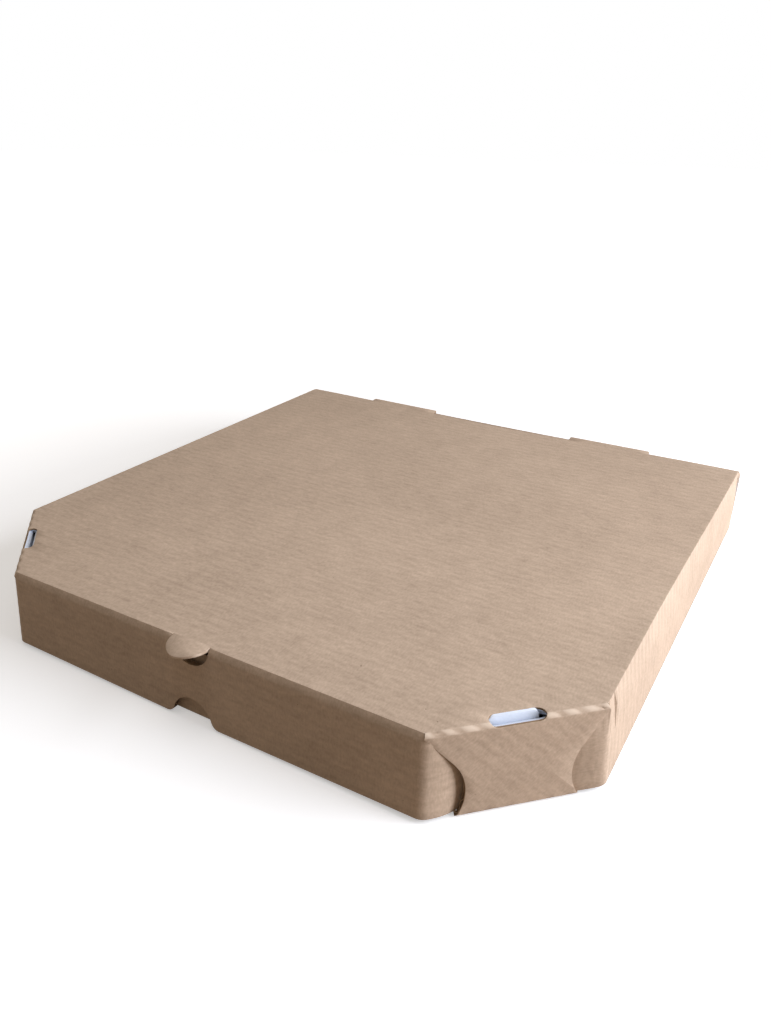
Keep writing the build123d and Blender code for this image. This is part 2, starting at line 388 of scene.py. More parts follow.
def thicken(drawing):
    """Mirror the half outline, fill it and give it the thickness of the board."""
    bpy.ops.object.mode_set(mode="OBJECT")
    mirror = drawing.modifiers.new("other half", "MIRROR")
    mirror.use_clip = True
    mirror.merge_threshold = hair
    bpy.ops.object.modifier_apply(modifier=mirror.name)
    bpy.ops.object.mode_set(mode="EDIT")
    bpy.ops.mesh.select_all(action="SELECT")
    bpy.ops.mesh.remove_doubles(threshold=hair / 5)
    bpy.ops.mesh.select_all(action="SELECT")
    bpy.ops.mesh.edge_face_add()
    bpy.ops.mesh.select_all(action="SELECT")
    bpy.ops.mesh.extrude_region_move(TRANSFORM_OT_translate={"value": (0, 0, -board)})
    bpy.ops.mesh.select_all(action="SELECT")
    bpy.ops.mesh.normals_make_consistent(inside=False)
    bpy.ops.object.mode_set(mode="OBJECT")


lid_board = pen_draw("lid_board", lid_outline)
thicken(lid_board)
print("upper blank", tuple(round(side, 4) for side in lid_board.dimensions),
      len(lid_board.data.polygons), "faces")

# %% [markdown]
# ## Punching
# The die also punches a slot across each corner's fold, and it slits the board round the
# thumb tongue and round the two rear lips. Those slits let the tongue and the lips stay flat
# with the top panel when the walls fold away under them. Each punch is drawn with the same
# pen, given a height, and taken away from the board with a boolean.

# %% Punches
punch_gap = 0.0004
slot_half_length = 0.0126
slot_inside = 0.0061
slot_outside = 0.002 - take_up(wall_turn)
tongue_radius = 0.011
tongue_y = front_y + take_up(wall_turn) / 2
lip_centre = 0.0882
lip_length = 0.060
lip_reach = 0.0034
lip_round = 0.0012


def punch(sheet, name, corners):
    """Take a closed outline away from the board, right through it."""
    tool = pen_draw(name, corners + corners[:1])
    bpy.ops.mesh.select_all(action="SELECT")
    bpy.ops.mesh.remove_doubles(threshold=hair / 5)
    bpy.ops.mesh.select_all(action="SELECT")
    bpy.ops.mesh.edge_face_add()
    bpy.ops.transform.translate(value=(0, 0, board))
    bpy.ops.mesh.select_all(action="SELECT")
    bpy.ops.mesh.extrude_region_move(TRANSFORM_OT_translate={"value": (0, 0, -3 * board)})
    bpy.ops.mesh.select_all(action="SELECT")
    bpy.ops.mesh.normals_make_consistent(inside=False)
    bpy.ops.object.mode_set(mode="OBJECT")
    work_on(sheet)
    hole = sheet.modifiers.new(name, "BOOLEAN")
    hole.operation = "DIFFERENCE"
    hole.solver = "EXACT"
    hole.object = tool
    bpy.ops.object.modifier_apply(modifier=hole.name)
    bpy.data.objects.remove(tool, do_unlink=True)


def slit(half, reach, rounding, centre, base, out):
    """Corners of a narrow slit in the form of a U, round a tongue of a half width and reach."""
    outer_half, outer_reach = half + punch_gap, reach + punch_gap
    outer_rounding = rounding + punch_gap
    corners = [
        (outer_half, 0, 0), (outer_half, outer_reach, outer_rounding),
        (-outer_half, outer_reach, outer_rounding), (-outer_half, 0, 0),
        (-half, 0, 0), (-half, reach, rounding), (half, reach, rounding), (half, 0, 0),
    ]
    return [(Vector((centre + a, base + out * b)), radius) for a, b, radius in corners]


slot_round = (slot_inside + slot_outside) / 2 - hair
slot_corners = [
    (0, -slot_inside, 0), (slot_half_length, -slot_inside, slot_round),
    (slot_half_length, slot_outside, slot_round), (-slot_half_length, slot_outside, slot_round),
    (-slot_half_length, -slot_inside, slot_round),
]
for side in (1, -1):
    slot = [(strip_place(a, b), radius) for a, b, radius in slot_corners]
    punch(lid_board, "slot_punch", [(Vector((side * p.x, p.y)), r) for p, r in slot])
    rear_base = hinge_y - tangent(pi / 2)
    punch(lid_board, "lip_punch", slit(
        lip_length / 2, lip_reach + tangent(pi / 2), lip_round, side * lip_centre, rear_base, 1))
tongue_base = front_y - bend_start
punch(lid_board, "tongue_punch", slit(
    tongue_radius, tongue_radius + tongue_base - tongue_y, tongue_radius, 0, tongue_base, -1))
print("punched board", len(lid_board.data.polygons), "faces")

# %% [markdown]
# The die crushes the rims a little, so a cut edge isn't sharp. Every edge between the flat of
# the board and its rim gets a small bevel now, while the board is flat and those edges are
# easy to find by the directions of their faces.

# %% Soft rims
rim_softness = 0.00035


def soften_rims(sheet):
    work_on(sheet)
    bpy.ops.object.mode_set(mode="EDIT")
    bpy.ops.mesh.select_mode(type="EDGE")
    bpy.ops.mesh.select_all(action="DESELECT")
    mesh = bmesh.from_edit_mesh(sheet.data)
    for edge in mesh.edges:
        flat = sorted(abs(face.normal.z) for face in edge.link_faces)
        edge.select_set(len(flat) == 2 and flat[0] < 0.5 < flat[1])
    bmesh.update_edit_mesh(sheet.data)
    bpy.ops.mesh.bevel(offset=rim_softness, segments=2, clamp_overlap=True)
    bpy.ops.mesh.select_mode(type="VERT")
    bpy.ops.object.mode_set(mode="OBJECT")


soften_rims(lid_board)
print("softened board", len(lid_board.data.vertices), "corners")

# %% [markdown]
# ## Which part of the board is which
# To fold the board, the script has to know which points go with which panel. On the flat
# blank that is a question of place alone: a corner strip lies within its S-shaped edges, the
# front part lies before the front fold, and so on. Each question below takes the places of
# all points at once and answers with a row of yes and no.

# %% Regions of the flat blank
near = 0.00002


def edge_profile(waist):
    """Levels down the strip's edge, and how far the edge is from the middle at each."""
    start, centre, first, last, foot = flap_edge(waist)
    swing = np.linspace(first, last, 24)
    bite_levels = centre.y + flap_bite_radius * np.sin(swing)
    bite_halves = centre.x + flap_bite_radius * np.cos(swing)
    return (np.array([bend_start, start.y, *bite_levels, ledge_fold + ledge_step]),
            np.array([corner_inset, start.x, *bite_halves, ledge_inner_half]))


front_profile = edge_profile(front_waist)
side_profile = edge_profile(side_waist)


def strip_frame(x, y):
    """Places across a corner strip and out along it, the same on both sides."""
    from_x, from_y = np.abs(x) - strip_middle.x, y - strip_middle.y
    return (from_x + from_y) * diagonal, (from_x - from_y) * diagonal


def in_strip(x, y, slack=punch_gap / 2):
    across, out = strip_frame(x, y)
    half = np.where(across < 0, np.interp(out, *front_profile), np.interp(out, *side_profile))
    return (out > bend_start - near) & (np.abs(across) < half + slack)


def beside_strip(x, y):
    """The walls with their ears, and the edges that they share with the strips as well."""
    wall = (y < front_y - bend_start + near) | (np.abs(x) > half_width + bend_start - near)
    return wall & ~in_strip(x, y, -punch_gap)


def in_tongue(x, y):
    deep = np.hypot(x, y - tongue_y) < tongue_radius + punch_gap / 2
    root = (np.abs(x) < tongue_radius + punch_gap / 2) & (y > tongue_y)
    return deep | root


def in_front(x, y):
    return ~in_strip(x, y) & ~in_tongue(x, y) & (y < front_y - bend_start + near)


def in_sides(x, y):
    beside_rear = (y > rear_ear_y + near) & (np.abs(x) < half_width + near)
    return ~in_strip(x, y) & ~beside_rear & (np.abs(x) > half_width + bend_start - near)


def in_lips(x, y):
    aside = np.abs(np.abs(x) - lip_centre) - lip_length / 2 + lip_round
    beyond = y - hinge_y - lip_reach + lip_round
    return np.hypot(aside.clip(min=0), beyond.clip(min=0)) < lip_round + punch_gap / 2


def in_rear(x, y):
    behind = y > hinge_y - tangent(pi / 2) - near
    return behind & (np.abs(x) < half_width + near) & ~in_lips(x, y)


def in_panel(x, y):
    inside = (np.abs(x) < half_width + bend_start + near) & (y > front_y - bend_start - near)
    return inside & (y < hinge_y - tangent(pi / 2) + near)


# %% [markdown]
# ## Creases
# Each crease is a fold line: a point where the outer faces would meet in a sharp corner, the
# way out of the box, the angle, the part of the blank that it turns, and the part where it is
# pressed into the board. A crease becomes seven lines a fraction of a millimetre apart, for
# the bend, and one on each side of them, for the shoulders of the groove inside. The last six
# are the folds of the two strips and of the four walls. The corner ears have soft bends instead,
# which run down the slanting ends of the walls.

# %% Fold lines
front_ear_turn = pi / 4 + radians(2)
front_ear_curl = radians(22)
side_ear_turn = pi / 4 + radians(1.5)
side_ear_curl = radians(9)
curl_start = 0.0045
curl_end = 0.015
curl_rows = 7
ear_bend = 0.0024
ear_bend_rows = 9
tab_taper = 0.0055
tab_taper_turn = radians(23)
# Straight folds are painted lighter along the bend: partly rubbing, partly a painted highlight.
straight_rubbing_and_highlight = 0.3
# The kraft side's rim bevels are painted lighter, as a painted highlight.
rim_highlight = 0.6
tongue_curl = radians(20)
tongue_curl_start = 0.003
tongue_curl_end = 0.009
tongue_curl_out = Vector((-0.35, -0.94)).normalized()
ear_slant = atan(ear_root / wall_slant)
rear_turn = pi / 2


def beside(side, region):
    """The part of a region on one side of the box."""
    return lambda x, y: region(x, y) & (side * x > 0)


def ear_part(corner, along, out, wall):
    """The ear of a wall: the part near or past its corner that lies below the wall's fold."""
    def part(x, y):
        from_x, from_y = np.abs(x) - corner.x, y - corner.y
        past = from_x * along.x + from_y * along.y
        down = from_x * out.x + from_y * out.y
        return wall(x, y) & (past > -2 * board) & (down > bend_end + near)
    return part


def rear_ear_part(x, y):
    level = (np.abs(x) > rear_ear_inner - near) & (np.abs(x) < rear_ear_outer + near)
    return in_sides(x, y) & level & (y > rear_ear_y - board)


def tongue_part(x, y):
    return in_tongue(x, y) & (y < front_y - bend_start - near)


def crease(origin, out, turn, moves, pressed):
    """A fold line: seven rows that share the turn, and the two shoulders of its groove."""
    slanting = min(abs(out[0]), abs(out[1])) > near
    rows = [-tangent(turn) + number * chord(turn) for number in range(bend_rows + 1)]
    groove = (board - fold_radius) * tan(turn / 2)
    step = turn / bend_rows
    return {
        "origin": Vector(origin), "out": Vector(out), "rows": rows, "moves": moves,
        "pressed": pressed, "shoulders": [rows[0] - groove, rows[-1] + groove],
        # How much lighter the bend is painted: partly rubbing, partly a painted highlight.
        "rubbing_and_highlight": 1 if slanting else straight_rubbing_and_highlight * abs(out[0]),
        "turns": [step / 2] + [step] * (bend_rows - 1) + [step / 2],
        "shares": [0] + [0.5] * (bend_rows - 1) + [1],
    }


def curl(origin, out, turn, start, end, moves, pressed, count=curl_rows):
    """A soft bend without a groove, spread over evenly spaced rows."""
    return {
        "origin": Vector(origin), "out": Vector(out), "moves": moves, "pressed": pressed,
        "rows": np.linspace(start, end, count).tolist(), "shoulders": [],
        "turns": [turn / count] * count, "shares": [0.5] * count,
    }


def lid_creases():
    """All creases of the upper half, from the tips of the blank inwards."""
    creases = [curl((0, tongue_y), tongue_curl_out, tongue_curl, tongue_curl_start,
                    tongue_curl_end, tongue_part, tongue_part)]
    for side in (1, -1):
        out = Vector((side * diagonal, -diagonal))
        middle = Vector((side * strip_middle.x, strip_middle.y))
        strip_here = beside(side, in_strip)
        creases.append(curl(middle, out, 0, tab_end - tab_taper, tab_end - tab_round / 2,
                            strip_here, strip_here))
        for fold, turn in ((inner_fold, inner_turn), (ledge_fold, ledge_turn)):
            creases.append(crease(middle + out * fold, out, turn, strip_here, strip_here))
        for corner, along, ear_out, turn, bow, wall in (
            (front_corner, Vector((1, 0)), Vector((0, -1)), front_ear_turn, front_ear_curl,
             in_front),
            (side_corner, Vector((0, -1)), Vector((1, 0)), side_ear_turn, side_ear_curl,
             in_sides),
        ):
            past = along * cos(ear_slant) - ear_out * sin(ear_slant)
            origin, past = (side * corner.x, corner.y), (side * past.x, past.y)
            part = beside(side, ear_part(corner, along, ear_out, wall))
            creases.append(curl(origin, past, bow, curl_start, curl_end, part, beside_strip))
            creases.append(curl(origin, past, turn, -ear_bend, ear_bend, part, beside_strip,
                                ear_bend_rows))
        part = beside(side, rear_ear_part)
        creases.append(crease((0, rear_ear_y), (0, 1), rear_turn, part, part))
    for side in (1, -1):
        out = Vector((side * diagonal, -diagonal))
        middle = Vector((side * strip_middle.x, strip_middle.y))
        creases.append(crease(middle, out, wall_turn, beside(side, in_strip),
                              lambda x, y: in_strip(x, y) | in_panel(x, y)))
        creases.append(crease((side * half_width, 0), (side, 0), wall_turn,
                              beside(side, in_sides),
                              lambda x, y: in_sides(x, y) | in_panel(x, y)))
    creases.append(crease((0, front_y), (0, -1), wall_turn, in_front,
                          lambda x, y: in_front(x, y) | in_panel(x, y)))
    creases.append(crease((0, hinge_y), (0, 1), rear_turn, in_rear,
                          lambda x, y: in_rear(x, y) | in_panel(x, y)))
    return creases


lid_folds = lid_creases()
wall_fold_count = 6
wall_folds = lid_folds[-wall_fold_count:]
print(len(lid_folds), "creases and soft bends on the upper half")

# %% Press the creases


def select_points(sheet, chosen):
    """Select the points for which a row of yes and no says yes, and the faces between them."""
    mesh = bmesh.from_edit_mesh(sheet.data)
    for corner, yes in zip(mesh.verts, chosen.tolist()):
        corner.select = yes
    mesh.select_flush_mode()


def cut(sheet, place, across, region=None):
    """Cut the board along a line, in all of it or in the faces that lie within a region."""
    bpy.ops.mesh.select_all(action="SELECT")
    if region:
        mesh = bmesh.from_edit_mesh(sheet.data)
        places = np.array([corner.co.xy for corner in mesh.verts])
        select_points(sheet, region(places[:, 0], places[:, 1]))
    bpy.ops.mesh.bisect(
        plane_co=(place.x, place.y, 0), plane_no=(across.x, across.y, 0), threshold=hair / 100
    )


def press_creases(sheet, folds, first_cuts):
    """Cut the lines that part the panels, and then all lines of every crease."""
    work_on(sheet)
    bpy.ops.object.mode_set(mode="EDIT")
    bpy.ops.mesh.select_mode(type="VERT")
    for place, across in first_cuts:
        cut(sheet, Vector(place), Vector(across))
    for fold in reversed(folds):
        for reach in fold["rows"] + fold["shoulders"]:
            cut(sheet, fold["origin"] + fold["out"] * reach, fold["out"], fold["pressed"])
    bpy.ops.object.mode_set(mode="OBJECT")


side_line = half_width + bend_start
press_creases(lid_board, lid_folds, [
    ((0, front_y - bend_start), (0, 1)),
    ((side_line, 0), (1, 0)),
    ((-side_line, 0), (1, 0)),
    ((0, hinge_y - tangent(rear_turn)), (0, 1)),
])
print("creased board", len(lid_board.data.polygons), "faces")

# %% [markdown]
# ## Flutes
# The board's core is a wave that runs across the box, and its liners follow it a little: that
# is the faint washboard on every panel. The board is cut into four rows for each wave: one on
# the crest, one in the trough and two halfway. Both liners will be lifted alike.

# %% Flutes
flute_pitch = 0.0063
flute_rows = 4
trough_row = 3
flute_relief = 0.00007
column_pitch = 0.018


def flute_phase(y):
    """The row of the wave that a place lies on, from 0 up to 4."""
    return (y / flute_pitch * flute_rows) % flute_rows


def cut_flutes(sheet, low, high, keep_clear):
    """Rows along the flutes and columns across them, clear of the bends beside them."""
    work_on(sheet)
    bpy.ops.object.mode_set(mode="EDIT")
    for direction, spacing in (
        (Vector((0, 1)), flute_pitch / flute_rows), (Vector((1, 0)), column_pitch)
    ):
        first, last = int(low.dot(direction) / spacing), int(high.dot(direction) / spacing)
        for number in range(first, last + 1):
            place = direction * number * spacing
            blocked = any(
                abs(fold["out"].dot(direction)) > 0.99
                and fold["rows"][0] - hair
                < (place - fold["origin"]).dot(fold["out"])
                < fold["rows"][-1] + hair
                for fold in keep_clear
            )
            if not blocked:
                cut(sheet, place, direction)
    bpy.ops.object.mode_set(mode="OBJECT")


blank_low = Vector((-side_free, free_edge))
blank_high = Vector((side_free, rear_ear_tip))
cut_flutes(lid_board, blank_low, blank_high, wall_folds)
print("fluted board", len(lid_board.data.vertices), "corners")

# %% [markdown]
# ## What the flat blank remembers
# Once the board is folded, nobody can tell where a point was. So its flat place is kept as a
# UV map in metres, and its depth in the board as an attribute from 0 at the outer liner to 1
# at the inner one. The faces are sorted into three slots by the way they face: the kraft
# liner, the white liner and the cut edges.

# %% Flat places, depth and the three kinds of face
kraft_slot, white_slot, edge_slot = 0, 1, 2
flat_enough = 0.6


def flat_places(sheet):
    """Places of all points of the flat board, as three rows."""
    places = np.empty(3 * len(sheet.data.vertices), dtype=np.float32)
    sheet.data.vertices.foreach_get("co", places)
    return places.reshape(-1, 3).T.astype(float)


def reach_of(fold, x, y):
    """How far places lie beyond a fold line."""
    return (x - fold["origin"].x) * fold["out"].x + (y - fold["origin"].y) * fold["out"].y


def remember(sheet, folds):
    x, y, z = flat_places(sheet)
    data = sheet.data
    while data.uv_layers:
        data.uv_layers.remove(data.uv_layers[0])
    corners = np.empty(len(data.loops), dtype=np.int32)
    data.loops.foreach_get("vertex_index", corners)
    blank = data.uv_layers.new(name="blank")
    blank.data.foreach_set("uv", np.column_stack((x[corners], y[corners])).ravel())
    data.attributes.new("depth", "FLOAT", "POINT").data.foreach_set("value", -z / board)
    # The fold mask marks the bends, the kraft side's rim bevels and the tongue's rim. The liners paint
    # it lighter, partly as rubbing and partly as a painted highlight, with painted shade in its
    # troughs.
    bent = np.zeros(len(x))
    for fold in folds:
        if fold["shoulders"]:
            reach = reach_of(fold, x, y)
            inside = (reach > fold["rows"][0] + near) & (reach < fold["rows"][-1] - near)
            bent[inside & fold["moves"](x, y)] = fold["rubbing_and_highlight"]
    # Rim bevels on the kraft side: a painted highlight.
    bent[(z < -near) & (z > -rim_softness - near)] = rim_highlight
    # The tongue's rim takes the full lighter tone, a painted highlight.
    bent[tongue_part(x, y) & (z < -near) & (z > -board + near)] = 1
    data.attributes.new("fold", "FLOAT", "POINT").data.foreach_set("value", bent)
    normals = np.empty(3 * len(data.polygons))
    data.polygons.foreach_get("normal", normals)
    up_share = normals.reshape(-1, 3)[:, 2]
    kinds = np.where(up_share > flat_enough, kraft_slot,
                     np.where(up_share < -flat_enough, white_slot, edge_slot))
    centres = np.empty(3 * len(data.polygons))
    data.polygons.foreach_get("center", centres)
    middle_x, middle_y = centres.reshape(-1, 3).T[:2]
    rim = kinds == edge_slot
    kinds[rim & tongue_part(middle_x, middle_y)] = kraft_slot
    reach = strip_frame(middle_x, middle_y)[1]
    kinds[rim & in_strip(middle_x, middle_y) & (reach > tab_end - tab_taper)] = white_slot
    data.polygons.foreach_set("material_index", kinds.astype(np.int32))
    print(sheet.name, "kraft, white and edge faces:", np.bincount(kinds).tolist())
    return x, y, z


lid_flat = remember(lid_board, lid_folds)

# %% [markdown]
# ## Relief and grooves
# Now the waves get their relief: a displacement lifts every point by its own share. Where the
# corner strip's crease crosses the waves, the outer liner sinks between two crests, which makes
# the fold's edge a row of small bumps. Inside every bend the board is pressed to about two
# thirds of its thickness, so there is room for it to fold.

# %% Relief and grooves
dent_depth = 0.00032
row_slack = 0.01
least_weight = 0.001


def push(sheet, name, weights, direction, distance):
    """Displace points along an axis, each by its own share of a distance."""
    group = sheet.vertex_groups.new(name=name)
    for index in np.nonzero(weights > least_weight)[0].tolist():
        group.add([index], weights[index], "REPLACE")
    mover = sheet.modifiers.new(name, "DISPLACE")
    mover.direction = direction
    mover.vertex_group = group.name
    mover.mid_level = 0
    mover.strength = distance
    work_on(sheet)
    bpy.ops.object.modifier_apply(modifier=mover.name)
    sheet.vertex_groups.remove(sheet.vertex_groups[name])


def ease(value):
    """A smooth step from 0 to 1."""
    value = value.clip(0, 1)
    return value * value * (3 - 2 * value)


def emboss(sheet, places, folds, dented):
    """Lift the waves, press dents along some folds and a groove in all of them."""
    x, y, z = places
    phase = flute_phase(y)
    half_wave = flute_rows / 2
    off_crest = np.abs((phase - trough_row) % flute_rows - half_wave) / half_wave
    push(sheet, "flutes", 1 - off_crest, "Z", flute_relief)
    bpy.ops.object.mode_set(mode="EDIT")
    for fold in dented:
        reach = reach_of(fold, x, y)
        bent = (reach > fold["rows"][0] + near) & (reach < fold["rows"][-1] - near)
        trough = (np.abs(phase - trough_row) < row_slack) & (z > -rim_softness / 2)
        select_points(sheet, bent & trough & fold["moves"](x, y))
        bpy.ops.transform.translate(value=(0, 0, -dent_depth))
    for fold in folds:
        if fold["shoulders"]:
            reach = reach_of(fold, x, y)
            bent = (reach > fold["rows"][0] - near) & (reach < fold["rows"][-1] + near)
            select_points(sheet, bent & (z < -fold_radius - near) & fold["pressed"](x, y))
            bpy.ops.transform.resize(value=(1, 1, 0), center_override=(0, 0, -fold_radius))
    bpy.ops.object.mode_set(mode="OBJECT")


emboss(lid_board, lid_flat, lid_folds, [fold for fold in wall_folds if fold["rubbing_and_highlight"] == 1])
print("relief of", round(flute_relief * 1000, 2), "mm, pitch", round(flute_pitch * 1000, 1))

# %% [markdown]
# ## Folding
# The creases are folded from the tips of the blank inwards, so every fold line still lies flat
# when its turn comes. Each row of a bend turns all points beyond it by its part of the angle,
# and its own points by half of that, which keeps the board's thickness even round the bend.

# %% Fold up
tongue_thickness = 0.0013
slot_rim_thickness = 0.001


def turn_points(sheet, chosen, point, axis, angle):
    """Turn the chosen points about a line through a point."""
    if angle and chosen.any():
        select_points(sheet, chosen)
        first = axis.orthogonal().normalized()
        bpy.ops.transform.rotate(
            value=angle, orient_axis="Z", orient_type="GLOBAL",
            orient_matrix=Matrix((first, axis.cross(first), axis)).transposed(),
            orient_matrix_type="GLOBAL", constraint_axis=(False, False, True),
            center_override=point,
        )


def fold_up(sheet, folds, places):
    x, y, z = places
    work_on(sheet)
    bpy.ops.object.mode_set(mode="EDIT")
    for fold in folds:
        moves = fold["moves"](x, y)
        out = fold["out"].to_3d()
        reach = reach_of(fold, x, y)
        axis = Vector((0, 0, 1)).cross(out)
        for row, turn, share in zip(*(reversed(fold[key]) for key in ("rows", "turns", "shares"))):
            pivot = fold["origin"].to_3d() + out * row
            turn_points(sheet, moves & (reach > row + near), pivot, axis, turn)
            turn_points(sheet, moves & (np.abs(reach - row) <= near), pivot, axis, turn * share)
    bpy.ops.object.mode_set(mode="OBJECT")


def settle(sheet, lift):
    """Move a folded board up or down as a whole and leave its object at the origin."""
    work_on(sheet)
    bpy.ops.transform.translate(value=(0, 0, lift))
    bpy.ops.object.transform_apply(location=True, rotation=True, scale=True)


def crush(sheet, places):
    """Flatten the tongue and the slots' rims from inside, and slant the tabs' white faces."""
    x, y, z = places
    across, out = strip_frame(x, y)
    from_slot = np.hypot((np.abs(across) - slot_half_length + slot_round).clip(min=0),
                         out - (slot_outside - slot_inside) / 2)
    slot_rim = from_slot < slot_round + rim_softness + near
    work_on(sheet)
    bpy.ops.object.mode_set(mode="EDIT")
    select_points(sheet, tongue_part(x, y) & (z < -board / 2))
    bpy.ops.transform.translate(value=(0, 0, board - tongue_thickness))
    select_points(sheet, slot_rim & (z < -slot_rim_thickness))
    bpy.ops.transform.resize(value=(1, 1, 0), center_override=(0, 0, -slot_rim_thickness))
    for side in (1, -1):
        out = Vector((side * diagonal, -diagonal, 0))
        pivot = Vector((side * strip_middle.x, strip_middle.y, -board)) + out * (tab_end - tab_taper)
        reach = (x - pivot.x) * out.x + (y - pivot.y) * out.y
        chosen = beside(side, in_strip)(x, y) & (reach > near) & (z < -board / 2)
        turn_points(sheet, chosen, pivot, Vector((0, 0, 1)).cross(out), -tab_taper_turn)
    bpy.ops.object.mode_set(mode="OBJECT")


# %% [markdown]
# Two places of the real box aren't straight. The rear edge has sunk a little between its two
# ears, and the right wall's upper edge bulges out near the rear corner. Each is a displacement
# along one axis, and a weight on the flat blank says how much of it every point takes.

# %% Sunk rear edge and bulging side, once folded
rear_sag = 0.0012
rear_bow = 0.002
rear_fade = 0.12
rear_half = 0.165
side_bulge = 0.0027
side_fade = 0.05
bulge_start = -0.06


def make_uneven(sheet, places):
    x, y, z = places
    down_rear = ((y - hinge_y) / height).clip(0, 1)
    near_rear = ease((y - hinge_y + rear_fade) / rear_fade) * (np.abs(x) < half_width + near)
    mid_rear = near_rear * ease(1 - np.abs(x) / rear_half) * (1 - down_rear)
    push(sheet, "sag", mid_rear * (down_rear == 0), "Z", -rear_sag)
    push(sheet, "bow", mid_rear, "Y", -rear_bow)
    down_side = ((x - half_width) / height).clip(0, 1)
    top_side = ease((x - half_width + side_fade) / side_fade) * (1 - down_side)
    towards_rear = ease((y - bulge_start) / (hinge_y - bulge_start))
    push(sheet, "bulge", top_side * towards_rear, "X", side_bulge)


crush(lid_board, lid_flat)
fold_up(lid_board, lid_folds, lid_flat)
make_uneven(lid_board, lid_flat)
settle(lid_board, height - flute_relief)
print("folded upper half", tuple(round(side, 4) for side in lid_board.dimensions))

# %% [markdown]
# ## The lower half
# The lower half is drawn the same way, with its brown face up: a panel that fits between the
# walls, with two corners cut away beside the ledges, and a flap on three of its sides. Its
# flaps are longer than they look in a closed box, since they stand a little inwards. They are
# folded down like the walls, and then the whole half is turned over, so the white face is up.

# %% Places on the lower half
front_gap = 0.0015
side_gap = 0.0007
corner_gap = 0.0015
tuck_lean = radians(5)
tuck_headroom = 0.005
tuck_round = 0.014
tuck_end_gap = 0.003
blank_gap = 0.004

tuck_turn = pi / 2 + tuck_lean
tuck_length = (height - board - tuck_headroom) / cos(tuck_lean) - take_up(tuck_turn)
base_front = front_y - spread + board + front_gap
base_half = half_width + spread - board - side_gap
cut_shift = (ledge_reach + corner_gap) * sqrt(2)
base_front_end = front_end + base_front - front_y - cut_shift
base_side_start = front_y + base_half - front_end + cut_shift
front_flap_half = base_front_end - tuck_end_gap
side_flap_start = base_side_start + tuck_end_gap
side_flap_end = hinge_y - (rear_ear_reach - board - height) - blank_gap
fold_depth = tangent(tuck_turn)


def tuck_flap(start, end, place):
    """A flap with round corners, from one slit beside its fold to the other."""
    corners = [
        (start - 2 * kerf, 0, 0), (start - 2 * kerf, -fold_depth, 0), (start, -fold_depth, 0),
        (start, tuck_length, tuck_round), (end, tuck_length, tuck_round),
        (end, -fold_depth, 0), (end + 2 * kerf, -fold_depth, 0), (end + 2 * kerf, 0, 0),
    ]
    return [(place(a, b), radius) for a, b, radius in corners]


front_flap = tuck_flap(-front_flap_half, front_flap_half,
                       lambda along, out: Vector((along, base_front - out)))
side_flap = tuck_flap(side_flap_start, side_flap_end,
                      lambda along, out: Vector((base_half + out, along)))
base_outline = [(Vector((0, base_front - tuck_length)), 0)] + front_flap[-4:] + [
    (Vector((base_front_end, base_front)), 0),
    (Vector((base_half, base_side_start)), 0),
] + side_flap + [
    (Vector((base_half, hinge_y)), 0),
    (Vector((0, hinge_y)), 0),
]


def in_front_flap(x, y):
    return (np.abs(x) < front_flap_half + kerf) & (y < base_front + fold_depth + near)


def in_side_flaps(x, y):
    level = (y > side_flap_start - kerf) & (y < side_flap_end + kerf)
    return level & (np.abs(x) > base_half - fold_depth - near)


def in_base_panel(x, y):
    return (np.abs(x) < base_half - fold_depth + near) & (y > base_front + fold_depth - near)


def base_creases():
    creases = []
    for side in (1, -1):
        creases.append(crease((side * base_half, 0), (side, 0), tuck_turn,
                              beside(side, in_side_flaps),
                              lambda x, y: in_side_flaps(x, y) | in_base_panel(x, y)))
    creases.append(crease((0, base_front), (0, -1), tuck_turn, in_front_flap,
                          lambda x, y: in_front_flap(x, y) | in_base_panel(x, y)))
    return creases


print("lower half from y", round(base_front, 4), "and", round(2 * base_half, 4), "wide")

# %% Make the lower half
base_board = pen_draw("base_board", base_outline)
thicken(base_board)
soften_rims(base_board)
base_folds = base_creases()
base_side_line = base_half - fold_depth
press_creases(base_board, base_folds, [
    ((0, base_front + fold_depth), (0, 1)),
    ((base_side_line, 0), (1, 0)),
    ((-base_side_line, 0), (1, 0)),
])
cut_flutes(base_board, Vector((-base_half - tuck_length, base_front - tuck_length)),
           Vector((base_half + tuck_length, hinge_y)), base_folds)
base_flat = remember(base_board, base_folds)
emboss(base_board, base_flat, base_folds, [])
fold_up(base_board, base_folds, base_flat)
print("folded lower half", tuple(round(side, 4) for side in base_board.dimensions))

# %% [markdown]
# Both halves meet at the foot of the rear wall. Their edges there are cut at a slant, so the
# inner faces keep clear while the box opens: the inner rim of each half steps back by the
# thickness of the board. Then the lower half is turned over.

# %% Slanted edges at the hinge, and turn over


def slant_edge(sheet, places, edge_y, move):
    """Move the inner points of the rear edge, so that the edge is cut at a slant."""
    x, y, z = places
    work_on(sheet)
    bpy.ops.object.mode_set(mode="EDIT")
    select_points(sheet, (y > edge_y - 2 * rim_softness) & (z < -board / 2))
    bpy.ops.transform.translate(value=move)
    bpy.ops.object.mode_set(mode="OBJECT")


